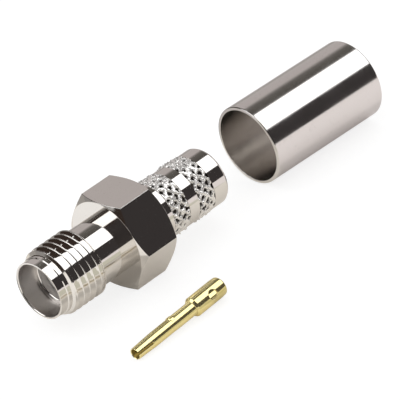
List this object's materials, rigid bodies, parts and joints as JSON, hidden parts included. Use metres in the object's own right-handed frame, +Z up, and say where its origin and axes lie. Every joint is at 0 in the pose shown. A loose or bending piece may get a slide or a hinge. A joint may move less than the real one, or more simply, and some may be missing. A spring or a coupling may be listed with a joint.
{
  "type": "sma connector",
  "caption": "Crimp-type SMA jack in loose pieces: threaded hexagon body with a knurled stem, slotted gold centre contact and plain tube ferrule.",
  "frame": {"origin": "middle of the hexagon flat that the body lies on, on the table", "axes": "+Z up from the table, -X along the body's axis out of its threaded mouth"},
  "size_m": [0.0399, 0.0154, 0.0083],
  "materials": {
    "bright_nickel": "bright nickel plate on turned brass",
    "satin_nickel": "satin nickel plate on a drawn tube",
    "gold_plate": "polished gold plate",
    "white_fluoropolymer": "smooth turned white plastic"
  },
  "bodies": {
    "root": {"connector_body": "bright_nickel", "insulator": "white_fluoropolymer", "center_contact": "gold_plate", "crimp_ferrule": "satin_nickel"}
  },
  "joints": []
}
